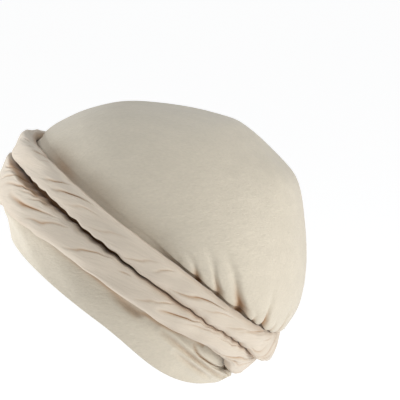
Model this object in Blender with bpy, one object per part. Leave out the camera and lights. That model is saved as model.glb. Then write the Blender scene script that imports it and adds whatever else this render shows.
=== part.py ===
"""A stretch turban cap in its worn shape: a lined knit cap with two twisted rolls wound round it.

Everything is drawn in the cap's own frame, whose +Z is the cap's axis and whose -Y is the brow. The frame
is then tipped by SLOPE, because the cap is worn high at the brow and low at the nape.
Run it with blender --background --python part.py, or from Blender's text editor.
"""

import math
from collections import namedtuple

import bmesh
import bpy
from mathutils import Vector

MM = 0.001

# How the cap sits, in radians and metres: the lining's highest point is the origin.
SLOPE = math.radians(36.0)
CENTRE = Vector((0.0, 0.0236, -0.0997))

# Cloth, in millimetres.
CLOTH = 1.8
HEM = 3.0
SATIN = 1.0
GAP = 0.5
LINING_GAP = 1.2

# The outline between its front, side and back sizes is a superellipse: 1.0 is a plain ellipse.
FULLNESS = 0.93

# How much lower the hem hangs behind the ears than a plain hem would, in millimetres.
HEM_DROOP = 4.5

# The cap's outer face, row by row from the hem to the top of the crown, in millimetres: how far out and how
# far up each row lies at the brow, over the ear and at the nape. A higher bend keeps a row level for longer
# before it rises or falls to its place at the nape.
Row = namedtuple("Row", "front_out front_up side_out side_up back_out back_up bend")
ROWS = {
    "hem": Row(88, -52.5, 76, -53.5, 98, -43, 5),
    "band": Row(97, -44, 78.5, -41, 95.5, -39.5, 2.5),
    "under_rolls": Row(106, -36, 79.5, -26.5, 92, -37, 2),
    "between_rolls": Row(110.5, -5.5, 80, -6, 97.5, -14.5, 3.5),
    "over_rolls": Row(112, 16.5, 80.5, 15, 103, 5.5, 1),
    "tuck": Row(111.5, 23, 81, 20, 105.5, 11, 1),
    "belly": Row(106.5, 34, 83, 35, 105.5, 30, 1),
    "shoulder": Row(97, 51, 81, 55, 97.5, 51, 1),
    "slope": Row(80.5, 69.5, 71, 74, 79, 76, 1),
    "high": Row(57, 85, 53, 91, 55, 100, 1),
    "top": Row(27, 100.5, 27, 104, 31, 106, 1),
    "apex": Row(0, 109.5, 0, 109.5, 0, 109.5, 1),
}
LEVELS = list(ROWS.values())
HEM_U, BAND_U, UNDER_U, BETWEEN_U, OVER_U, TUCK_U, BELLY_U, SHOULDER_U, SLOPE_U = range(9)
APEX_U = len(LEVELS) - 1

# The puffs of cloth that the rolls gather up: each stands out between two valleys, given in degrees from the
# brow, by so many millimetres above the rolls and at the hem. The keeper lies flat between two of them.
Puff = namedtuple("Puff", "start end crown hem")
PUFFS = (
    Puff(99, 112, 2.0, 0.0),
    Puff(112, 123, 3.5, 0.5),
    Puff(123, 137, 4.5, 1.0),
    Puff(137, 153, 5.0, 1.5),
    Puff(153, 171, 5.0, 1.5),
    Puff(171, 184, 5.0, 2.0),
    Puff(184, 197, 4.5, 1.5),
    Puff(197, 219, 0.0, 0.0),
    Puff(219, 232, 4.5, 1.5),
    Puff(232, 243, 4.5, 1.0),
    Puff(243, 256, 3.5, 0.5),
    Puff(256, 269, 2.0, 0.0),
)
PUFF_ROUNDNESS = 0.7

# The puffs lean forwards as they rise, most of all behind the ears: the lean at their tops, in degrees.
LEAN = 23.0
STEPS_PER_PUFF = 4
PLAIN_STEP = 7.4

# The two twisted rolls: the rows that each lies between, its thickness in millimetres at the brow, over the
# ear and at the nape, the share of its height that is left free at each edge, and how far it sags at the nape,
# where its lower half is the thicker one. The last value is how many rows higher its lower edge runs behind the
# left ear, where a fold of the band comes out from under it.
Roll = namedtuple("Roll", "low_u high_u front side back margin sag lift")
ROLLS = {
    "upper_roll": Roll(BETWEEN_U, OVER_U, 12.5, 14.5, 13.5, 0.04, 0.5, 0.0),
    "lower_roll": Roll(UNDER_U, BETWEEN_U, 12.0, 13.5, 11.5, 0.04, 0.0, 0.3),
}
ROLL_STATIONS = 72
ROLL_SIDES = 12
ROLL_FULLNESS = 0.75
TWIST_TURNS = 4
TWIST_LOBES = 3
TWIST_DEPTH = 0.18

# The keeper loop that the ends of the rolls are tucked through, behind the right ear.
KEEPER_ANGLE = math.radians(208)
KEEPER_WIDTH = 18.0
KEEPER_CLOTH = 1.6
KEEPER_REACH = 1.3
KEEPER_STEPS = 16


def smooth(low, high, x):
    """0 below low, 1 above high, and a smooth rise between them."""
    t = min(max((x - low) / (high - low), 0.0), 1.0)
    return t * t * (3 - 2 * t)


def row_at(u):
    """The row of sizes u rows up from the hem, on a smooth curve through the rows."""
    k = min(int(u), APEX_U - 1)
    t = u - k
    under_top = LEVELS[APEX_U - 1]
    past_top = Row(
        -under_top.back_out, under_top.back_up, -under_top.side_out, under_top.side_up,
        -under_top.front_out, under_top.front_up, under_top.bend,
    )
    before, here, after = LEVELS[max(k - 1, 0)], LEVELS[k], LEVELS[k + 1]
    beyond = LEVELS[k + 2] if k + 2 <= APEX_U else past_top
    return Row(*(
        0.5 * (2 * b + (c - a) * t + (2 * a - 5 * b + 4 * c - d) * t**2 + (3 * b - a - 3 * c + d) * t**3)
        for a, b, c, d in zip(before, here, after, beyond)
    ))


def on_cap(angle, u):
    """The point of the cap's plain outer face at this angle from the brow, u rows up."""
    row = row_at(u)
    c, s = math.cos(angle), math.sin(angle)
    end_out, end_up, bend = (row.front_out, row.front_up, 1) if c > 0 else (row.back_out, row.back_up, row.bend)
    droop = 0.0 if c > 0 else HEM_DROOP * 6.75 * c**2 * (1 - c**2) ** 2 * (1 - smooth(HEM_U, UNDER_U, u))
    return Vector((
        row.side_out * math.copysign(abs(s) ** FULLNESS, s),
        -end_out * math.copysign(abs(c) ** FULLNESS, c),
        row.side_up + (end_up - row.side_up) * abs(c) ** (2 * bend) - droop,
    ))


def outward(angle, u):
    """The direction straight out of the cap's face there."""
    if u >= APEX_U:
        return Vector((0, 0, 1))
    step = 0.01
    round_cap = on_cap(angle + step, u) - on_cap(angle - step, u)
    up_cap = on_cap(angle, min(u + step, APEX_U)) - on_cap(angle, max(u - step, 0))
    return round_cap.cross(up_cap).normalized()


def off_cap(angle, u, out):
    """The point out millimetres off the cap's plain face, in metres."""
    return (on_cap(angle, u) + out * outward(angle, u)) * MM


def puff(angle, u):
    """How far the gathered cloth stands off the plain face, in millimetres."""
    degrees = math.degrees(angle) % 360
    over = smooth(OVER_U + 0.05, TUCK_U - 0.4, u) * (1 - smooth(TUCK_U - 0.1, BELLY_U + 0.9, u))
    under = 1 - smooth(BAND_U - 0.6, UNDER_U - 0.3, u)
    for one in PUFFS:
        if one.start <= degrees < one.end:
            share = (degrees - one.start) / (one.end - one.start)
            return math.sin(math.pi * share) ** PUFF_ROUNDNESS * (one.crown * over + one.hem * under)
    return 0.0


def leaning(angle, u):
    """Where the cloth that starts at this angle over the rolls has got to, u rows up."""
    if math.cos(angle) > 0:
        return angle
    return angle + math.radians(LEAN) * math.sin(2 * angle) * smooth(OVER_U - 0.4, SHOULDER_U - 0.1, u)


def new_object(name, mesh_data, frame, colour, roughness):
    """Puts a finished mesh into the scene, on the cap's frame, with its own material."""
    mesh = bpy.data.meshes.new(name)
    mesh_data.to_mesh(mesh)
    mesh_data.free()
    mesh.shade_smooth()
    material = bpy.data.materials.new(name)
    material.use_nodes = True
    shader = material.node_tree.nodes["Principled BSDF"]
    shader.inputs["Base Color"].default_value = (*colour, 1.0)
    shader.inputs["Roughness"].default_value = roughness
    mesh.materials.append(material)
    made = bpy.data.objects.new(name, mesh)
    bpy.context.scene.collection.objects.link(made)
    made.parent = frame
    return made


def dome(points_at, angles, rows):
    """A dome of one ring of points for each row, closed at its pole. The first row is its open rim."""
    made = bmesh.new()
    rings = [[made.verts.new(points_at(a, u)) for a in angles] for u in rows]
    pole = made.verts.new(points_at(0.0, APEX_U))
    for low, high in zip(rings, rings[1:]):
        for k in range(len(angles)):
            after = (k + 1) % len(angles)
            made.faces.new((low[k], low[after], high[after], high[k]))
    for k in range(len(angles)):
        made.faces.new((rings[-1][k], rings[-1][(k + 1) % len(angles)], pole))
    return made


def crown_angles():
    """Angles round the cap: even steps where the cloth is plain, and each puff cut into the same few steps."""
    degrees = [
        one.start + (one.end - one.start) * k / STEPS_PER_PUFF for one in PUFFS for k in range(STEPS_PER_PUFF)
    ]
    last, turn = PUFFS[-1].end, 360 + PUFFS[0].start
    plain = round((turn - last) / PLAIN_STEP)
    degrees += [last + (turn - last) * k / plain for k in range(plain)]
    return [math.radians(d) for d in degrees]


def build_crown(frame):
    """The knit cap: one wall of cloth, folded double at the hem, gathered in where the rolls hold it."""
    rows = (0, 0.4, 1, 1.5, 2, 2.5, 3, 4, 4.35, 4.7, 5.1, 5.6, 6.2, 7, 8, 9, 10)
    made = dome(lambda a, u: off_cap(leaning(a, u), u, puff(a, u)), crown_angles(), rows)
    crown = new_object("crown", made, frame, (0.72, 0.67, 0.56), 0.9)
    hem = crown.vertex_groups.new(name="hem")
    hem.add(range(len(crown_angles())), 1.0, "REPLACE")
    wall = crown.modifiers.new("wall", "SOLIDIFY")
    wall.thickness = HEM * MM
    wall.offset = -1
    wall.vertex_group = hem.name
    wall.thickness_vertex_group = CLOTH / HEM
    return crown


def build_lining(frame):
    """The satin inside the cap: a thin wall a little inside the knit, from just above the hem to the top."""
    inside = -(CLOTH + LINING_GAP)
    rows = (0.6, 1, 1.5, 2, 2.5, 3, 4, 5.1, 6.2, 7, 8, 9, 10)
    angles = [math.tau * k / 40 for k in range(40)]
    made = dome(lambda a, u: off_cap(a, u, inside), angles, rows)
    lining = new_object("lining", made, frame, (0.80, 0.74, 0.58), 0.35)
    wall = lining.modifiers.new("wall", "SOLIDIFY")
    wall.thickness = SATIN * MM
    wall.offset = -1
    return lining


def roll_point(roll, angle, turn):
    """A point of a roll's face: turn goes once round its section, and the folds of the twist wind along it."""
    c = math.cos(angle)
    thickness = roll.side + ((roll.front if c > 0 else roll.back) - roll.side) * c * c
    up, out = (math.copysign(abs(x) ** ROLL_FULLNESS, x) for x in (math.cos(turn), math.sin(turn)))
    degrees = math.degrees(angle)
    low_u = roll.low_u + roll.lift * smooth(110, 134, degrees) * (1 - smooth(160, 178, degrees))
    half = (roll.high_u - low_u) * (0.5 - roll.margin)
    belly = 0.34
    share = belly + (1 - belly if out > 0 else belly) * out
    fold = 0.5 + 0.5 * math.cos(TWIST_LOBES * turn + TWIST_TURNS * TWIST_LOBES * angle)
    groove = TWIST_DEPTH * fold**2 * smooth(-0.3, 0.4, out)
    u = (low_u + roll.high_u) / 2 + half * up * (1 - 0.4 * groove)
    thickness *= 1 - roll.sag * up * smooth(0.8, 1.0, -c)
    return off_cap(angle, u, GAP + thickness * share * (1 - groove))


def build_roll(name, frame):
    """One strand of the band: a strip of the same cloth twisted on itself and wound right round the cap."""
    made = bmesh.new()
    turns = [math.tau * k / ROLL_SIDES for k in range(ROLL_SIDES)]
    angles = [math.tau * k / ROLL_STATIONS for k in range(ROLL_STATIONS)]
    rings = [[made.verts.new(roll_point(ROLLS[name], a, t)) for t in turns] for a in angles]
    for k, ring in enumerate(rings):
        after = rings[(k + 1) % ROLL_STATIONS]
        for j in range(ROLL_SIDES):
            beside = (j + 1) % ROLL_SIDES
            made.faces.new((ring[j], ring[beside], after[beside], after[j]))
    bmesh.ops.recalc_face_normals(made, faces=made.faces)
    return new_object(name, made, frame, (0.76, 0.69, 0.58), 0.9)


def keeper_section(angle):
    """The keeper's section over both rolls at this angle, as points outside and inside its cloth."""
    clear = max(ROLLS["upper_roll"].back, ROLLS["lower_roll"].back) + 3 * GAP
    inner, outer = [], []
    for k in range(KEEPER_STEPS + 1):
        x = -math.cos(math.pi * k / KEEPER_STEPS)
        rise = math.sqrt(max(1 - x**4, 0.0))
        u = BETWEEN_U + KEEPER_REACH * x
        inner.append(off_cap(angle, u, GAP + (clear - GAP) * rise))
        outer.append(off_cap(angle, u + 0.1 * x, GAP + (clear - GAP + KEEPER_CLOTH) * rise))
    return outer + inner[::-1]


def build_keeper(frame):
    """The keeper: a strap of cloth sewn to the cap above and below the rolls, with both rolls through it."""
    half = KEEPER_WIDTH / 2 / abs(on_cap(KEEPER_ANGLE, BETWEEN_U).length)
    angles = [KEEPER_ANGLE + half * side for side in (-1.0, -0.5, 0.0, 0.5, 1.0)]
    made = bmesh.new()
    rings = [[made.verts.new(p) for p in keeper_section(a)] for a in angles]
    count = len(rings[0])
    for ring, after in zip(rings, rings[1:]):
        for j in range(count):
            beside = (j + 1) % count
            made.faces.new((ring[j], ring[beside], after[beside], after[j]))
    for ring in (rings[0], rings[-1]):
        for j in range(count // 2 - 1):
            made.faces.new((ring[j], ring[j + 1], ring[count - 2 - j], ring[count - 1 - j]))
    bmesh.ops.recalc_face_normals(made, faces=made.faces)
    return new_object("keeper_loop", made, frame, (0.72, 0.66, 0.55), 0.9)


def main():
    for old in list(bpy.data.objects):
        bpy.data.objects.remove(old)
    frame = bpy.data.objects.new("cap_frame", None)
    frame.location = CENTRE
    frame.rotation_euler = (-SLOPE, 0.0, 0.0)
    bpy.context.scene.collection.objects.link(frame)
    build_crown(frame)
    build_lining(frame)
    for name in ROLLS:
        build_roll(name, frame)
    build_keeper(frame)


main()
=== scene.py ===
"""A stretch turban cap as it is worn: a lined knit cap, two twisted rolls round it, and a keeper loop."""

import math
import random
from collections import namedtuple

import bpy
import numpy as np
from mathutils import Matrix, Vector


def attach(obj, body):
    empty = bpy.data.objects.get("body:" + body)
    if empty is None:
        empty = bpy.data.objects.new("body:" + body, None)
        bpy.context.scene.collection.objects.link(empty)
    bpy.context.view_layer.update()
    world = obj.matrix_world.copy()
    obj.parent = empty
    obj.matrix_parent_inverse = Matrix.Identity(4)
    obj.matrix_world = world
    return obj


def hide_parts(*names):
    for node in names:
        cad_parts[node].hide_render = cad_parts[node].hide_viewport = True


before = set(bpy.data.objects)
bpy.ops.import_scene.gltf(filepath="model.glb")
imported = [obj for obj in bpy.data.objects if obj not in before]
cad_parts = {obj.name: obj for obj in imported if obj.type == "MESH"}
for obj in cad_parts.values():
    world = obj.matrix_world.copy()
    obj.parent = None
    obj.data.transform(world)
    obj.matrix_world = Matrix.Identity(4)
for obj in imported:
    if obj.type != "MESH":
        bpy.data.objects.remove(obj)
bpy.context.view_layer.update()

# The crown.
# One piece of cream stretch knit: a dome gathered in at the back, the seat that the rolls lie on, and the
# band below them, which is turned up inside into a hem. Its form comes from the head inside and the rolls
# outside.

# Sizes here are in millimetres, in the cap's own frame, tipped back by SLOPE. Each row says how far out and
# how far up the cloth lies at the brow, over the ear and at the nape. A higher bend keeps a row level for
# longer before it climbs or drops to its place at the nape.
MM = 0.001
SLOPE = math.radians(36.0)
CENTRE = np.array((0.0, 23.6, -99.7))
FULLNESS = 0.93
HEM_DROOP = 4.5
Row = namedtuple("Row", "front_out front_up side_out side_up back_out back_up bend")
ROWS = (
    Row(88, -52.5, 76, -53.5, 98, -43, 5),
    Row(97, -44, 78.5, -41, 95.5, -39.5, 2.5),
    Row(106, -36, 79.5, -26.5, 92, -37, 2),
    Row(110.5, -5.5, 80, -6, 97.5, -14.5, 3.5),
    Row(112, 16.5, 80.5, 15, 103, 5.5, 1),
    Row(111.5, 23, 81, 20, 105.5, 11, 1),
    Row(106.5, 34, 83, 35, 105.5, 30, 1),
    Row(97, 51, 81, 55, 97.5, 51, 1),
    Row(80.5, 69.5, 71, 74, 79, 76, 1),
    Row(57, 85, 53, 91, 55, 100, 1),
    Row(27, 100.5, 27, 104, 31, 106, 1),
    Row(0, 109.5, 0, 109.5, 0, 109.5, 1),
)
HEM_U, BAND_U, UNDER_U, BETWEEN_U, OVER_U, TUCK_U, BELLY_U, SHOULDER_U = range(8)
APEX_U = len(ROWS) - 1
PAST_APEX = Row(-31, 106, -27, 104, -27, 100.5, 1)


def smooth(low, high, x):
    """0 below low, 1 above high, and a smooth rise between them."""
    t = np.clip((x - low) / (high - low), 0.0, 1.0)
    return t * t * (3 - 2 * t)


def on_block(angle, u):
    """Points of the plain form, u rows up and at an angle from the brow towards the left ear."""
    table = np.array([ROWS[0], *ROWS, PAST_APEX], float)
    k = np.clip(u.astype(int), 0, APEX_U - 1)
    t = (u - k)[..., None]
    a, b, c, d = (table[k + n] for n in range(4))
    row = 0.5 * (2 * b + (c - a) * t + (2 * a - 5 * b + 4 * c - d) * t**2 + (3 * b - a - 3 * c + d) * t**3)
    front_out, front_up, side_out, side_up, back_out, back_up, bend = np.moveaxis(row, -1, 0)
    c, s = np.cos(angle), np.sin(angle)
    end_out, end_up = np.where(c > 0, (front_out, front_up), (back_out, back_up))
    up = side_up + (end_up - side_up) * np.abs(c) ** (2 * np.where(c > 0, 1.0, bend))
    up -= HEM_DROOP * np.where(c < 0, 6.75 * c**2 * (1 - c**2) ** 2, 0) * (1 - smooth(HEM_U, UNDER_U, u))
    x = side_out * np.sign(s) * np.abs(s) ** FULLNESS
    y = -end_out * np.sign(c) * np.abs(c) ** FULLNESS
    return np.stack((x, y, up), -1)


def off_block(angle, u, out):
    """The points so many millimetres out from the plain form, in the object's frame and in metres."""
    step = 0.01
    along = on_block(angle + step, u) - on_block(angle - step, u)
    rise = on_block(angle, np.minimum(u + step, APEX_U)) - on_block(angle, np.minimum(u, APEX_U) - step)
    normal = np.cross(along, rise)
    length = np.linalg.norm(normal, axis=-1, keepdims=True)
    normal = np.where(length > 1e-4, normal / np.maximum(length, 1e-4), (0.0, 0.0, 1.0))
    x, y, z = np.moveaxis(on_block(angle, u) + out[..., None] * normal, -1, 0)
    c, s = math.cos(SLOPE), math.sin(SLOPE)
    return (np.stack((x, y * c + z * s, z * c - y * s), -1) + CENTRE) * MM


def ripples(seed, count, around, along, angle, v):
    """Uneven soft swells, about -1 to 1: a few sine waves that meet again after a full turn."""
    rng = random.Random(seed)
    total = np.zeros_like(v)
    for _ in range(count):
        total += np.sin(rng.randint(*around) * angle + rng.uniform(*along) * v + rng.uniform(0, math.tau))
    return total / math.sqrt(count)


# The rolls gather the cloth of the dome, which blouses over them behind the ears. Between its soft puffs run
# gathers, each from its foot against the roll to its top, both in degrees from the brow. A gather is so
# high, so deep and half so wide at the foot, in millimetres, and there it has so much painted shade.
Gather = namedtuple("Gather", "foot top high depth width shade")
GATHERS = (
    Gather(103, 98, 8, 0.8, 2.2, 0.2),
    Gather(112, 102, 15, 3.8, 4.2, 1.0),
    Gather(123, 106, 26, 4.2, 3.8, 0.6),
    Gather(137, 112, 32, 6.2, 6.4, 1.0),
    Gather(146, 141, 9, 2.2, 2.4, 0.9),
    Gather(153, 143, 29, 3.6, 3.2, 0.9),
    Gather(162, 157, 13, 1.8, 2.4, 0.5),
    Gather(171, 165, 27, 3.2, 3.2, 0.5),
    Gather(184, 184, 32, 4.0, 3.6, 0.9),
    Gather(192, 196, 13, 2.0, 2.4, 0.5),
    Gather(199, 206, 26, 3.4, 3.2, 0.7),
    Gather(219, 233, 28, 3.8, 3.4, 0.7),
    Gather(227, 236, 12, 2.0, 2.4, 0.6),
    Gather(233, 254, 32, 5.0, 4.0, 1.0),
    Gather(244, 259, 22, 3.4, 3.2, 0.7),
    Gather(250, 260, 11, 2.0, 2.4, 0.6),
    Gather(257, 270, 18, 2.4, 2.8, 0.5),
)
BLOUSE = 5.0
PRESSED_IN = 3.5
MM_PER_DEGREE = 1.7
MM_PER_ROW = 18
KEEPER_DEGREES, KEEPER_CLEAR_DEGREES = 208, 9


def gathered(angle, u):
    """How far out the gathered cloth stands, in millimetres, and how much painted shade it takes, 0 to 1."""
    degrees = np.degrees(angle) % 360
    # The cloth blouses behind the ears, and lies flat only at the keeper.
    behind = smooth(88, 106, degrees) * (1 - smooth(254, 272, degrees))
    behind *= 1 - np.exp(-(((degrees - KEEPER_DEGREES) / KEEPER_CLEAR_DEGREES) ** 4))
    rise = smooth(OVER_U, TUCK_U - 0.5, u)
    out = BLOUSE * behind * rise * (1 - smooth(TUCK_U - 0.2, SHOULDER_U, u))
    # Elsewhere the rolls press it into a valley with painted shade, which is deepest between the brow and the
    # ear.
    pressed = (1 - smooth(OVER_U + 0.1, BELLY_U + 0.5, u)) * (1 - behind) * smooth(OVER_U - 0.4, OVER_U, u)
    uneven = 0.75 + 0.35 * ripples(8, 7, (3, 14), (0.3, 1.5), angle, u)
    past_brow = 1 - np.cos(angle)
    off_brow = 0.4 + 0.65 * smooth(0.03, 0.30, past_brow) - 0.8 * smooth(0.3, 0.85, past_brow)
    out -= PRESSED_IN * pressed * off_brow
    valley_shade = 0.52 * pressed**1.5 * np.clip(uneven, 0, 1.4) * off_brow**2
    # Painted shade where the bloused cloth meets the roll behind the ears.
    valley_shade += 0.3 * behind * smooth(OVER_U - 0.4, OVER_U, u) * (1 - smooth(OVER_U, OVER_U + 0.4, u))
    climbed = np.interp(u, (OVER_U, TUCK_U, BELLY_U, SHOULDER_U, SHOULDER_U + 1), (0, 5, 21, 42, 64))
    for gather in GATHERS:
        share = np.clip(climbed / gather.high, 0, 1)
        line = gather.foot + (gather.top - gather.foot) * share
        width = gather.width * (1 - 0.45 * smooth(0, 0.5, share)) + 2.4 * smooth(0.3, 1, share)
        groove = np.exp(-(np.abs((degrees - line) * MM_PER_DEGREE / width) ** 1.8)) * (1 - share) ** 1.1
        groove = groove * smooth(OVER_U - 0.4, OVER_U - 0.1, u)
        out -= gather.depth * groove * (0.3 + 0.7 * rise)
        # Painted shade in each gather's pocket by the roll.
        valley_shade = np.maximum(valley_shade, gather.shade * groove**1.2 * (1 - smooth(0.12, 0.6, share)))
    return out, valley_shade


def curve_through(points, steps=5):
    """A smooth run of points through the given ones."""
    if len(points) < 3:
        return [np.array(p, float) for p in points]
    first, last = np.array(points[0]), np.array(points[-1])
    ends = [2 * first - points[1], *map(np.array, points), 2 * last - points[-2]]
    run = []
    for a, b, c, d in zip(ends, ends[1:], ends[2:], ends[3:]):
        for t in np.arange(steps) / steps:
            run.append(0.5 * (2*b + (c - a) * t + (2*a - 5*b + 4*c - d) * t**2 + (3*b - a - 3*c + d) * t**3))
    return [*run, ends[-2]]


def fold_line(x, y, points, width):
    """A crease line through points of a flat pattern: 1 along its line, fading at its ends, and its two lips.
    """
    run = curve_through(points)
    low, high = np.min(run, axis=0) - 6 * width, np.max(run, axis=0) + 6 * width
    near = (x > low[0]) & (x < high[0]) & (y > low[1]) & (y < high[1])
    px, py = x[near], y[near]
    nearest, share = np.full(px.shape, 1e6), np.zeros(px.shape)
    for i, ((x0, y0), (x1, y1)) in enumerate(zip(run, run[1:])):
        length = math.hypot(x1 - x0, y1 - y0)
        t = np.clip(((px - x0) * (x1 - x0) + (py - y0) * (y1 - y0)) / length**2, 0, 1)
        distance = np.hypot(px - x0 - t * (x1 - x0), py - y0 - t * (y1 - y0))
        share = np.where(distance < nearest, (i + t) / (len(run) - 1), share)
        nearest = np.minimum(nearest, distance)
    fade = np.sin(math.pi * (0.06 + 0.88 * share)) ** 0.7
    line, lips = np.zeros_like(x), np.zeros_like(x)
    line[near] = np.exp(-((nearest / width) ** 1.6)) * fade
    lips[near] = np.exp(-(((nearest / width - 2.1) / 1.1) ** 2)) * fade
    return line, lips


def spaced(start, end, count, weight):
    """Values from start to end, closer together where the weight is higher."""
    fine = np.linspace(start, end, 4001)
    w = weight(fine)
    travelled = np.concatenate(([0], np.cumsum((w[1:] + w[:-1]) / 2)))
    return np.interp(np.linspace(0, travelled[-1], count), travelled, fine)


def cloth_from_grid(name, points, painted_shade, strand=None):
    """Shapes a grid primitive into cloth and closes its seam. Each point keeps how much painted shade it
    takes in its folds, creases and shadows, and in a twisted strip also where it lies along and round that
    strip."""
    bpy.ops.object.select_all(action="DESELECT")
    rows, columns = points.shape[:2]
    bpy.ops.mesh.primitive_grid_add(x_subdivisions=columns - 1, y_subdivisions=rows - 1, size=1)
    piece = bpy.context.object
    piece.name = piece.data.name = name
    piece.data.vertices.foreach_set("co", points.reshape(-1).astype(np.float32))
    kept = piece.data.attributes.new("painted_shade", "FLOAT", "POINT")
    kept.data.foreach_set("value", painted_shade.reshape(-1).astype(np.float32))
    if strand is not None:
        kept = piece.data.attributes.new("strand", "FLOAT_VECTOR", "POINT")
        kept.data.foreach_set("vector", strand.reshape(-1).astype(np.float32))
    bpy.ops.object.mode_set(mode="EDIT")
    bpy.ops.mesh.select_all(action="SELECT")
    bpy.ops.mesh.remove_doubles(threshold=2e-6)
    bpy.ops.object.mode_set(mode="OBJECT")
    bpy.ops.object.shade_smooth()
    return piece


def give_wall(piece, thickness):
    """Gives the cloth its thickness, inwards from its face."""
    wall = piece.modifiers.new("wall", "SOLIDIFY")
    wall.thickness = thickness * MM
    wall.offset = -1
    bpy.context.view_layer.objects.active = piece
    bpy.ops.object.modifier_apply(modifier=wall.name)


# Creases of the band, as (degrees from the brow, rows up) along each fold, so deep and so wide in
# millimetres, and with so much painted shade in them. The flap is a pleat pulled out from under the lower
# roll, which it lifts by so many rows. The pocket is where the band sinks in under that roll, by the ear.
Crease = namedtuple("Crease", "route depth width shade")
CROWN_CREASES = (
    Crease(((116, 1.7), (124, 1.6), (133, 1.48), (146, 1.24), (158, 0.85), (171, 0.3)), 3.0, 2.2, 0.35),
    Crease(((126, 1.24), (140, 0.95), (153, 0.6)), 2.2, 2.0, 0.25),
    Crease(((133, 2.1), (137, 1.86), (142, 1.72), (154, 1.7), (163, 1.78), (172, 1.92)), 1.5, 1.3, 0.8),
    Crease(((160, 1.84), (166, 1.9), (171, 2.0)), 0.8, 1.4, 0.7),
    Crease(((165, 1.5), (172, 0.9), (176, 0.4)), 1.2, 1.6, 0.3),
    Crease(((186, 1.6), (184, 1.0), (186, 0.4)), 1.2, 1.6, 0.3),
    Crease(((199, 1.6), (197, 1.0), (194, 0.5)), 1.1, 1.6, 0.3),
    Crease(((228, 1.4), (216, 0.95), (204, 0.6)), 1.5, 2.0, 0.25),
    Crease(((236, 1.9), (224, 1.5), (212, 1.2)), 1.3, 1.6, 0.3),
    Crease(((246, 1.5), (233, 1.1), (222, 0.7)), 1.2, 2.2, 0.15),
    Crease(((255, 2.0), (244, 1.7), (236, 1.3)), 1.0, 2.0, 0.15),
)
FLAP_ANGLE, FLAP_U, FLAP_HALF_DEGREES, FLAP_HALF_ROWS, FLAP_HEIGHT = 151, 1.99, 16, 0.28, 2.8
FLAP_LIFT = 0.3
POCKET_U, POCKET_HALF_ROWS, POCKET_DEPTH = 1.74, 0.17, 3.6
KNIT = 1.0
# The hem's turned-in edge, as (rows up, millimetres out), from its raw edge inside down to the fold.
HEM_TURN = ((0.62, -3.2), (0.4, -3.3), (0.2, -3.2), (0.07, -2.9), (0.0, -2.3), (-0.03, -1.5), (0.0, -0.6))


def lifted_by_flap(degrees):
    """How far the flap lifts the lower roll's edge, as a share of its lift."""
    return smooth(110, 134, degrees) * (1 - smooth(154, 171, degrees))


def folded_band(degrees, u):
    """How far the band's folds take its cloth out, in millimetres, and how much painted shade it takes."""
    out, painted_shade = np.zeros_like(u), np.zeros_like(u)
    for crease in CROWN_CREASES:
        route = [(MM_PER_DEGREE * d, MM_PER_ROW * r) for d, r in crease.route]
        line, lips = fold_line(MM_PER_DEGREE * degrees, MM_PER_ROW * u, route, crease.width)
        out += crease.depth * (0.55 * lips - 0.75 * line)
        painted_shade = np.maximum(painted_shade, crease.shade * line**1.5)
    flap = ((degrees - FLAP_ANGLE) / FLAP_HALF_DEGREES) ** 2 + ((u - FLAP_U) / FLAP_HALF_ROWS) ** 2
    out += FLAP_HEIGHT * np.clip(1 - flap, 0, 1) ** 0.5
    pocket = smooth(84, 100, degrees) * (1 - smooth(100.5, 106, degrees))
    out -= POCKET_DEPTH * pocket * np.exp(-(((u - POCKET_U) / POCKET_HALF_ROWS) ** 2))
    # The lower roll's painted shadow on the band, and the gathered cloth of the hem at the nape.
    roll_edge = UNDER_U + FLAP_LIFT * lifted_by_flap(degrees)
    below = (u - roll_edge + 0.09 + 0.19 * pocket) / (0.10 + 0.15 * pocket)
    shadow = (0.55 - 0.25 * pocket) * np.exp(-(below**2)) * smooth(50, 90, degrees)
    painted_shade = np.maximum(painted_shade, shadow * (1 - smooth(255, 300, degrees)) * (flap > 1))
    back_hem = smooth(150, 172, degrees) * (1 - smooth(222, 244, degrees)) * (1 - smooth(0.9, 1.8, u))
    out += back_hem * (1.0 + 0.9 * np.cos(np.radians(degrees - 180) * 19))
    return out, painted_shade


columns, rows = ((420, 110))
around = spaced(0, 360, columns + 1, lambda d: 1 + 1.9 * smooth(88, 102, d) * (1 - smooth(262, 276, d)))
upward = spaced(
    0.04, APEX_U, rows,
    lambda r: 0.5 + 0.7 * (1 - smooth(2.0, 2.6, r)) + 1.4 * smooth(3.8, 4.1, r) * (1 - smooth(5.6, 7.0, r)),
)
row_u = np.concatenate(([u for u, _ in HEM_TURN], upward))
row_out = np.concatenate(([out for _, out in HEM_TURN], np.zeros(rows)))
angle, u = np.meshgrid(np.radians(around), row_u)
stand, painted_shade = gathered(angle, u)
degrees = np.degrees(angle)
folded, band_shade = folded_band(degrees, u)
stand += folded
painted_shade = np.maximum(painted_shade, band_shade)
# The seat under the rolls takes full painted shade, where it shows in the gap between them.
painted_shade = np.maximum(painted_shade, smooth(2.72, 2.84, u) * (1 - smooth(3.3, 3.42, u)))
dome_share = smooth(TUCK_U, BELLY_U, u) * (1 - smooth(9.5, 10.8, u))
stand += 0.40 * ripples(3, 10, (2, 9), (0.6, 2.2), angle, u) * dome_share
stand += 0.25 * ripples(5, 8, (4, 14), (1.0, 4.0), angle, u) * (1 - smooth(1.2, 2.2, u)) * smooth(0.1, 0.5, u)
crown = cloth_from_grid("crown_cloth", off_block(angle, u, row_out[:, None] + stand), painted_shade)
give_wall(crown, KNIT)
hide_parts("crown")
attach(crown, "root")


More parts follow.
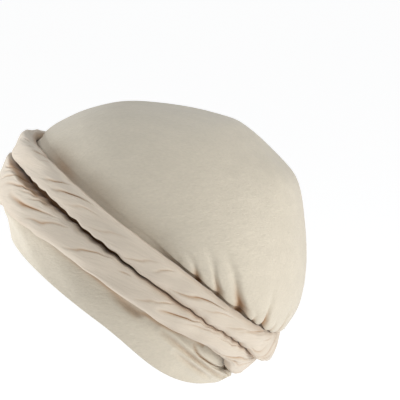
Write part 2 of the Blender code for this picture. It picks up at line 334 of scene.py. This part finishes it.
class Wire:
    """A shader socket that can be used in a sum: wire - 1 adds the Math node that the sum needs."""

    def __init__(self, socket):
        self.socket = socket

    @staticmethod
    def node(tree, kind, settings, sockets, output=0):
        """Adds a node, sets its settings and then its sockets, and gives the wire of one of its outputs."""
        made = tree.nodes.new(kind)
        for name, value in settings.items():
            setattr(made, name, value)
        for name, value in sockets.items():
            if isinstance(value, Wire):
                tree.links.new(value.socket, made.inputs[name])
            else:
                made.inputs[name].default_value = value
        return Wire(made.outputs[output])

    def math(self, operation, first, second):
        settings, sockets = {"operation": operation}, {0: first, 1: second}
        return Wire.node(self.socket.id_data, "ShaderNodeMath", settings, sockets)

    def __add__(self, other):
        return self.math("ADD", self, other)

    def __sub__(self, other):
        return self.math("SUBTRACT", self, other)

    def __mul__(self, other):
        return self.math("MULTIPLY", self, other)

    __radd__, __rmul__ = __add__, __mul__


def new_shader(name, roughness, sheen):
    """A material with its shader, and the even values that go on the shader's own sockets."""
    material = bpy.data.materials.new(name)
    material.use_nodes = True
    tree = material.node_tree
    shader = tree.nodes["Principled BSDF"]
    shader.inputs["Roughness"].default_value = roughness
    shader.inputs["Sheen Weight"].default_value = sheen
    shader.inputs["Sheen Roughness"].default_value = 0.6
    return material, tree, shader


def mix_colour(tree, share, first, second, blend="MIX"):
    settings = {"data_type": "RGBA", "blend_type": blend, "clamp_factor": True}
    return Wire.node(tree, "ShaderNodeMix", settings, {0: share, 6: first, 7: second}, 2)


def times(colour, share):
    """The colour made darker or lighter, and opaque."""
    return (*(c * share for c in colour), 1)


def knit(name, cloth, strand, fine):
    """Matt stretch knit: fine slubs that run with the cloth, an uneven dye, and painted shade in its folds.
    """
    material, tree, shader = new_shader(name, 0.95, 0.25)
    if strand:
        where = Wire.node(tree, "ShaderNodeAttribute", {"attribute_name": "strand"}, {}, "Vector")
        turned = Wire.node(tree, "ShaderNodeMapping", {}, {"Vector": where, "Scale": fine})
    else:
        where = Wire.node(tree, "ShaderNodeTexCoord", {}, {}, "Object")
        tipped = {"Vector": where, "Rotation": (SLOPE, 0, 0), "Scale": fine}
        turned = Wire.node(tree, "ShaderNodeMapping", {}, tipped)
    cloudy = Wire.node(tree, "ShaderNodeTexNoise", {}, {"Vector": turned, "Scale": 0.12, "Detail": 3.0})
    crepe = Wire.node(tree, "ShaderNodeTexNoise", {}, {"Vector": turned, "Scale": 0.45, "Detail": 3.0})
    slub = Wire.node(tree, "ShaderNodeTexNoise", {}, {"Vector": turned, "Scale": 1.0, "Detail": 2.0})
    grain = Wire.node(tree, "ShaderNodeTexNoise", {}, {"Vector": turned, "Scale": 3.2, "Detail": 2.0})
    # How much painted shade each point takes, in its folds, creases and painted shadows.
    depth = Wire.node(tree, "ShaderNodeAttribute", {"attribute_name": "painted_shade"}, {}, "Fac")
    dyed = mix_colour(tree, cloudy, times(cloth, 0.92), times(cloth, 1.08))
    worn = mix_colour(tree, (slub - 0.35) * 1.1, dyed, times(cloth, 0.84))
    # Painted shade: warm where it is light, and dark brown where it is deepest.
    warm_shaded = mix_colour(tree, depth * 1.4, worn, (*PAINTED_WARM_SHADE, 1))
    shaded = mix_colour(tree, (depth - 0.5) * 1.8, warm_shaded, (*PAINTED_DEEP_SHADE, 1))
    bump = Wire.node(
        tree, "ShaderNodeBump", {},
        {"Height": crepe + slub * 0.5 + grain * 0.25, "Strength": 0.5, "Distance": 0.0011},
    )
    tree.links.new(shaded.socket, shader.inputs["Base Color"])
    tree.links.new(bump.socket, shader.inputs["Normal"])
    return material


CREAM = (0.615, 0.555, 0.450)
# Painted shade: a warm colour for folds, creases and shadows, and a dark brown for the deepest of them.
PAINTED_WARM_SHADE = (0.41, 0.248, 0.132)
PAINTED_DEEP_SHADE = (0.18, 0.075, 0.015)
GRAIN = (900, 350, 900)
crown.data.materials.append(knit("cream_knit", CREAM, False, GRAIN))


# The lining.
# A thin champagne satin, cut larger than the head so that it slides over the hair, and so it lies in soft
# crinkles. Its lower edge is caught inside the crown's turned hem.

SATIN = 0.5
LINING_EDGE = 0.3
columns, rows = ((300, 90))
around = spaced(0, 360, columns + 1, lambda d: np.ones_like(d))
upward = spaced(LINING_EDGE, APEX_U, rows, lambda r: 0.6 + 0.8 * (1 - smooth(0.8, 1.6, r)))
angle, u = np.meshgrid(np.radians(around), upward)
free = smooth(0.5, 1.6, u) * (1 - smooth(9.6, 10.9, u))
stand = gathered(angle, u)[0] + folded_band(np.degrees(angle), u)[0]
crinkle = 1.0 + 0.55 * ripples(11, 14, (5, 22), (1.0, 7.0), angle, u)
crinkle += 0.45 * np.abs(ripples(12, 10, (9, 34), (2.0, 9.0), angle, u))
lies = -1.5 + np.where(u < 1, stand, np.minimum(stand, 0)) - free * (1.3 + np.clip(crinkle, 0, 3.2))
lining = cloth_from_grid("satin_lining", off_block(angle, u, lies), np.zeros_like(u))
give_wall(lining, SATIN)
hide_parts("lining")
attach(lining, "root")

satin, tree, shader = new_shader("champagne_satin", 0.34, 0.1)
place = Wire.node(tree, "ShaderNodeTexCoord", {}, {}, "Object")
threads = Wire.node(tree, "ShaderNodeMapping", {}, {"Vector": place, "Scale": (1200, 200, 1200)})
thread = Wire.node(tree, "ShaderNodeTexNoise", {}, {"Vector": threads, "Scale": 1.0, "Detail": 2.0})
# A painted sheen: the satin's colour runs lighter and darker in soft patches.
sheen = Wire.node(tree, "ShaderNodeTexNoise", {}, {"Vector": place, "Scale": 30.0, "Detail": 2.0})
tint = mix_colour(tree, sheen, (0.60, 0.51, 0.33, 1), (0.72, 0.63, 0.44, 1))
fine = Wire.node(tree, "ShaderNodeBump", {}, {"Height": thread, "Strength": 0.12, "Distance": 0.0002})
tree.links.new(tint.socket, shader.inputs["Base Color"])
tree.links.new((0.28 + 0.14 * thread).socket, shader.inputs["Roughness"])
tree.links.new(fine.socket, shader.inputs["Normal"])
lining.data.materials.append(satin)


# The two rolls.
# The cap's long tail is one strip of the same knit, twisted and wound twice round the cap. The twist draws
# the cloth into creases that run slantwise along each turn, from its lower edge at the front to its upper
# edge. Here each turn is a closed ring of its own.

# A pinch is a crease of a roll, as (degrees from the brow, degrees round the roll from its upper edge) along
# it, so deep and so wide in millimetres, and with so much painted shade in it.
Pinch = namedtuple("Pinch", "route depth width shade")
UPPER_PINCHES = (
    Pinch(((14, 58), (20, 23)), 0.6, 0.8, 0.3),
    Pinch(((23, 70), (26, 48), (29, 30)), 0.5, 0.6, 0.3),
    Pinch(((29, 60), (32, 39), (34, 12), (37, -2)), 1.4, 0.6, 0.9),
    Pinch(((37, 58), (41, 17)), 0.7, 0.6, 0.5),
    Pinch(((45, 93), (50, 79), (53, 55), (56, 32)), 1.2, 0.6, 0.85),
    Pinch(((51, 97), (56, 82), (59, 72), (63, 52), (68, 34)), 1.5, 0.6, 1.0),
    Pinch(((58, 110), (66, 78), (72, 62)), 0.5, 0.6, 0.3),
    Pinch(((70, 120), (77, 90), (84, 66)), 0.4, 0.6, 0.25),
    Pinch(((84, 151), (89, 105), (96, 64)), 0.6, 0.6, 0.4),
    Pinch(((96, 99), (102, 57)), 0.7, 0.6, 0.5),
    Pinch(((103, 120), (111, 100), (117, 86)), 0.6, 0.6, 0.4),
    Pinch(((107, 109), (113, 92), (118, 80), (123, 62), (130, 32)), 1.4, 0.6, 0.9),
    Pinch(((119, 110), (127, 80), (133, 66)), 0.6, 0.6, 0.4),
)
LOWER_PINCHES = (
    Pinch(((12, 60), (16, 50), (21, 26), (24, 0), (32, -9)), 1.3, 0.6, 0.9),
    Pinch(((17, 66), (22, 48), (26, 30)), 0.5, 0.6, 0.4),
    Pinch(((18, 88), (26, 60), (30, 28), (34, 2), (41, -5)), 1.4, 0.6, 1.0),
    Pinch(((24, 92), (30, 74), (36, 56), (40, 36)), 0.6, 0.6, 0.4),
    Pinch(((27, 85), (34, 60), (38, 39), (43, 26), (47, 2)), 1.4, 0.6, 1.0),
    Pinch(((36, 66), (42, 48), (48, 20)), 0.6, 0.8, 0.4),
    Pinch(((32, 92), (38, 90), (43, 88), (48, 81), (52, 70), (58, 51)), 1.5, 0.6, 1.0),
    Pinch(((43, 66), (48, 45), (51, 26), (54, 8)), 1.0, 0.7, 0.6),
    Pinch(((46, 113), (50, 99), (55, 91), (59, 76), (64, 53)), 0.9, 0.6, 0.6),
    Pinch(((57, 84), (62, 66), (66, 46)), 0.4, 0.6, 0.3),
    Pinch(((67, 109), (72, 91), (76, 73), (80, 50), (84, 34)), 0.9, 0.6, 0.7),
    Pinch(((87, 67), (91, 51)), 0.7, 0.6, 0.5),
    Pinch(((96, 110), (101, 90), (106, 74)), 0.5, 0.6, 0.35),
    Pinch(((103, 89), (110, 36)), 0.8, 0.6, 0.6),
    Pinch(((106, 93), (112, 81), (119, 64), (125, 41)), 1.5, 0.65, 1.0),
    Pinch(((118, 90), (126, 66), (134, 44)), 0.6, 0.6, 0.4),
    Pinch(((124, 50), (136, 8)), 0.8, 0.6, 0.5),
)
# A roll lies between two rows. It is so many millimetres thick at the brow, over the ear and at the nape,
# where it may sag, so that its lower half is the thicker one. The flap lifts its lower edge by so many rows.
# One edge is at the gap between the rolls. The creases that aren't in view run that steeply and come from
# that seed.
Roll = namedtuple("Roll", "low_u high_u front side back sag lift low_gap high_gap twist seed creases")
ROLLS = {
    "upper_roll": Roll(BETWEEN_U, OVER_U, 12.5, 14.5, 13.5, 0.5, 0.0, 1.0, 0.0, 4, 21, UPPER_PINCHES),
    "lower_roll": Roll(UNDER_U, BETWEEN_U, 12.0, 13.5, 11.5, 0.0, FLAP_LIFT, 0.0, 1.0, 3, 22, LOWER_PINCHES),
}
ROLL_GAP = 0.4
ROLL_MARGIN = 0.014
ROLL_FULLNESS = 0.72
ROLL_FATTEST = 0.34
TWIST_LOBES = 3
HIDDEN_FROM, HIDDEN_TO = 132, 344
# Millimetres for each degree, round a roll and along it.
AROUND_ROLL = 0.16
ALONG_ROLL = 1.83


def hidden_pinches(rng, twist):
    """Creases like the ones in view, for the stretch of a roll that the view doesn't show."""
    pinches = []
    start = HIDDEN_FROM
    while start < HIDDEN_TO:
        length, turn, slant = rng.uniform(9, 24), rng.uniform(60, 140), rng.uniform(0.8, 1.4) * twist
        bow = rng.uniform(-8, 12)
        route = tuple(
            (start + length * t, turn - slant * length * t + bow * math.sin(math.pi * t)) for t in (0, 0.5, 1)
        )
        depth = rng.uniform(0.4, 1.6)
        pinches.append(Pinch(route, depth, rng.uniform(0.6, 0.9), 0.45 * depth))
        start += rng.uniform(2.5, 7)
    return pinches


def creased(roll, degrees, drawn):
    """How deep the roll's creases sink, in millimetres, and how much painted shade its cloth takes in them.
    """
    sink, painted_shade = np.zeros_like(drawn), np.zeros_like(drawn)
    y = AROUND_ROLL * ((drawn - 60 + 180) % 360 + 60 - 180)
    for pinch in [*roll.creases, *hidden_pinches(random.Random(roll.seed), roll.twist)]:
        middle = (pinch.route[0][0] + pinch.route[-1][0]) / 2
        x = ALONG_ROLL * ((degrees - middle + 180) % 360 + middle - 180)
        route = [(ALONG_ROLL * d, AROUND_ROLL * t) for d, t in pinch.route]
        line, lips = fold_line(x, y, route, pinch.width)
        sink += 0.85 * pinch.depth * (line - 0.16 * lips)
        painted_shade = np.maximum(painted_shade, pinch.shade * line**2)
    return sink, painted_shade


def flank_shade(roll, degrees, turn, up, share, flat):
    """Painted shade on a roll's flanks, weaker on the one away from the gap, and on the lower roll's
    shoulder.
    """
    warm = 0.08 + 0.42 * roll.high_gap * np.interp(degrees, (8, 20, 45, 62), (0, 1, 1, 0)) + 0.42 * flat
    deep = warm * (1 - smooth(0.62, 0.98, share)) + (1 - warm) * (1 - smooth(0.34, 0.48, share))
    deep = np.minimum(deep, 1 - 0.5 * flat)
    deep *= np.maximum(np.where(up > 0, roll.high_gap, roll.low_gap), 0.35)
    shoulder = np.interp(degrees, (8, 18, 44, 60), (0, 1, 1, 0)) * smooth(0.35, 0.9, np.cos(turn))
    return np.maximum(deep, 0.6 * roll.high_gap * shoulder)


def build_roll(name, roll):
    """Makes one turn of the twisted strip as a closed ring, beginning and ending under the keeper."""
    sides, stations = ((144, 620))
    row, column = np.meshgrid(np.arange(sides + 1) / sides, np.arange(stations + 1) / stations)
    degrees = (360 * column + KEEPER_DEGREES) % 360
    angle = np.radians(degrees)
    turned = row - roll.twist * column
    turn = math.tau * (turned - 0.42 * np.sin(math.tau * (turned - 0.25)) / math.tau)
    c = np.cos(angle)
    thickness = roll.side + (np.where(c > 0, roll.front, roll.back) - roll.side) * c * c
    at_gap = roll.high_gap * smooth(0.0, 0.5, np.cos(turn)) + roll.low_gap * smooth(0.0, 0.5, -np.cos(turn))
    flat = smooth(84, 108, degrees) * (1 - smooth(240, 280, degrees))
    fullness = ROLL_FULLNESS - (0.16 - 0.1 * flat + 0.16 * roll.high_gap * (1 - flat)) * at_gap
    fullness -= 0.08 * roll.high_gap * smooth(0.6, 1.0, c)
    up, out = (np.sign(w) * np.abs(w) ** fullness for w in (np.cos(turn), np.sin(turn)))
    # The creases stay at the heights that the photo shows, however full the section is.
    drawn = np.degrees(np.where(out > 0, np.arccos(np.sign(up) * np.abs(up) ** (1 / ROLL_FULLNESS)), turn))
    sink, painted_shade = creased(roll, degrees, drawn)
    # A share of 0 is against the crown and 1 is the roll's outermost line.
    share = ROLL_FATTEST + np.where(out > 0, 1 - ROLL_FATTEST, ROLL_FATTEST) * out
    twist = 0.5 + 0.5 * np.cos(TWIST_LOBES * (turn + roll.twist * angle))
    facing = smooth(-0.3, 0.4, out)
    groove = 0.10 * twist**2 * facing * (1 - 0.8 * flat * at_gap)
    swell = 0.45 * ripples(roll.seed, 14, (2, 4), (0, 0), turn + roll.twist * angle, angle) * facing
    calmer_brow = 1 - 0.6 * smooth(0.8, 1, c)
    swell += 0.35 * ripples(roll.seed + 9, 12, (7, 30), (0, 0), angle, angle) * facing * calmer_brow
    # The two rolls part a little between the brow and the ear. At the back they lie against each other.
    apart = np.interp(degrees, (10, 24, 38, 60, 75, 100, 118), (0, 0.04, 0.13, 0.12, 0.09, 0.03, 0))
    under = np.interp(degrees, (10, 28, 42, 60), (0, 0.03, 0.03, 0))
    half_low = 0.5 - ROLL_MARGIN * (1 - 0.9 * flat * roll.low_gap) - roll.low_gap * apart
    half_high = 0.5 - ROLL_MARGIN * (1 - 0.9 * flat * roll.high_gap) - roll.high_gap * under
    half_high -= 0.10 * roll.low_gap * smooth(0.7, 1.0, c)
    wander = 0.02 * ripples(26, 8, (5, 24), (0, 0), angle, angle)
    low_u = roll.low_u + roll.lift * lifted_by_flap(degrees)
    half = np.where(up > 0, half_high, half_low) * (roll.high_u - low_u)
    u = (low_u + roll.high_u) / 2 + wander + half * up * (1 - 0.4 * groove)
    u -= 0.03 * sink * facing * up
    scalloped = at_gap**3 * smooth(12, 30, degrees) * (1 - smooth(330, 348, degrees))
    u += 0.016 * ripples(27, 8, (32, 64), (0, 0), angle, angle) * scalloped
    u += 0.012 * ripples(roll.seed + 3, 8, (20, 44), (0, 0), angle, angle) * np.abs(up) * (1 - at_gap)
    sag = roll.sag * up * smooth(0.8, 1.0, -c)
    brow_lift = 0.12 * roll.high_gap * up * smooth(0.6, 1.0, c)
    thickness = thickness * (1 - sag + brow_lift)
    lifted = ROLL_GAP + thickness * share * (1 - groove) + (swell - sink) * facing
    # Painted shade in the creases that face out, and on the flanks.
    painted_shade = np.maximum(painted_shade * facing, flank_shade(roll, degrees, turn, up, share, flat))
    # Where each point lies if the strip is a straight strand, for the grain of the knit.
    radius = AROUND_ROLL * 360 / math.tau
    strand = (radius * np.cos(math.tau * row), radius * np.sin(math.tau * row), 360 * ALONG_ROLL * column)
    points = off_block(angle, u, np.maximum(lifted, ROLL_GAP))
    piece = cloth_from_grid(name + "_cloth", points, painted_shade, np.stack(strand, -1))
    bpy.ops.object.mode_set(mode="EDIT")
    bpy.ops.mesh.select_all(action="SELECT")
    bpy.ops.mesh.normals_make_consistent(inside=False)
    bpy.ops.object.mode_set(mode="OBJECT")
    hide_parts(name)
    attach(piece, "root")
    return piece


ROSY_CREAM = (0.635, 0.552, 0.450)
twisted_knit = knit("twisted_knit", ROSY_CREAM, True, (0.9, 0.9, 0.1))
for name, roll in ROLLS.items():
    build_roll(name, roll).data.materials.append(twisted_knit)


# The keeper loop.
# A folded strap of the knit, from the crown above the rolls to the crown below them, behind the right ear. It
# bows over both turns and holds them down. It reaches so many rows up and down from the line between them.

KEEPER_ANGLE = math.radians(KEEPER_DEGREES)
KEEPER_WIDTH = 18.0
KEEPER_CLOTH = 1.5
KEEPER_GAP = 1.0
KEEPER_REACH = 1.62
ROLL_TOP = 15.7
columns, rows = (24, 96)
across, x = np.meshgrid(np.linspace(-1, 1, columns + 1), np.linspace(-1, 1, rows + 1))
bowed = -np.cos(math.pi * (x + 1) / 2)
rise = np.sqrt(np.clip(1 - bowed**6, 0, 1))
pinched = 1 - 0.16 * rise
half = KEEPER_WIDTH / 2 / np.linalg.norm(on_block(np.array(KEEPER_ANGLE), np.array(float(BETWEEN_U))))
angle = KEEPER_ANGLE + half * across * pinched
rucks = 0.5 * np.cos(9 * across + 1.5 * np.sin(4 * x)) + 0.3 * np.cos(17 * across + 3 * x)
u = BETWEEN_U + KEEPER_REACH * bowed
over_rolls = (ROLL_TOP + ROLL_GAP) * rise
out = KEEPER_GAP + KEEPER_CLOTH + over_rolls + rucks * smooth(0, 0.5, rise) * 0.6 - 0.6 * across**6
# Painted shade in the hollows of its rucks.
keeper = cloth_from_grid("keeper_strap", off_block(angle, u, out), 0.25 * smooth(0.2, 0.9, -rucks))
give_wall(keeper, KEEPER_CLOTH)
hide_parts("keeper_loop")
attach(keeper, "root")
keeper.data.materials.append(knit("strap_knit", CREAM, False, GRAIN))


# The setting.
# A pale, slightly glowing floor well below the cap, which is held up as a head would hold it. Soft studio
# light comes from the back of the cap, and a cooler fill from the brow's side.

FLOOR_DROP = 0.34
bpy.ops.object.select_all(action="DESELECT")
bpy.ops.mesh.primitive_plane_add(size=60, location=(0, 0, -FLOOR_DROP))
floor = bpy.context.object
floor.name = "floor"
paper, tree, shader = new_shader("pale_floor", 0.9, 0.0)
shader.inputs["Base Color"].default_value = (0.3, 0.3, 0.3, 1)
shader.inputs["Emission Color"].default_value = (1, 1, 1, 1)
shader.inputs["Emission Strength"].default_value = 0.88
floor.data.materials.append(paper)

world = bpy.data.worlds.new("studio")
world.use_nodes = True
world.node_tree.nodes["Background"].inputs["Color"].default_value = (0.94, 0.97, 1.0, 1)
world.node_tree.nodes["Background"].inputs["Strength"].default_value = 0.28
bpy.context.scene.world = world

TARGET = Vector((0, 0.02, -0.10))


def softbox(name, azimuth, elevation, distance, size, power, colour):
    """A square light that faces the cap, set round it by angles like the camera's."""
    a, e = math.radians(azimuth), math.radians(elevation)
    away = Vector((math.sin(a) * math.cos(e), -math.cos(a) * math.cos(e), math.sin(e)))
    bpy.ops.object.light_add(type="AREA", location=TARGET + away * distance)
    light = bpy.context.object
    light.name = name
    light.data.shape = "SQUARE"
    light.data.size = size
    light.data.energy = power
    light.data.color = colour
    light.rotation_euler = away.to_track_quat("Z", "Y").to_euler()
    light.visible_camera = False


softbox("key", 156, 2, 1.6, 0.7, 13.0, (1.0, 0.99, 0.97))
softbox("key_above", 170, 45, 1.6, 0.9, 4.5, (1.0, 1.0, 1.0))
softbox("brow_low", 0, 0, 1.6, 0.6, 9.0, (1.0, 1.0, 1.0))
softbox("brow_above", 0, 45, 1.6, 0.9, 11.0, (0.96, 0.98, 1.0))
softbox("brow_card", 6, -8, 0.42, 0.16, 0.2, (1.0, 1.0, 0.97))

# The camera looks at the cap's left side from a little above, through a long lens.
CAMERA_AZIMUTH, CAMERA_ELEVATION = math.radians(97), math.radians(7)
LENS, SENSOR, FRAME_WIDTH = 500.0, 36.0, 0.286
FRAME_CENTRE = Vector((0, 0.057, -0.0658))
back = Vector((
    math.sin(CAMERA_AZIMUTH) * math.cos(CAMERA_ELEVATION),
    -math.cos(CAMERA_AZIMUTH) * math.cos(CAMERA_ELEVATION),
    math.sin(CAMERA_ELEVATION),
))
bpy.ops.object.camera_add(location=FRAME_CENTRE + back * (FRAME_WIDTH * LENS / SENSOR))
camera = bpy.context.object
camera.rotation_euler = back.to_track_quat("Z", "Y").to_euler()
camera.data.lens = LENS
camera.data.sensor_width = SENSOR
bpy.context.scene.camera = camera
bpy.context.scene.view_settings.view_transform = "Standard"
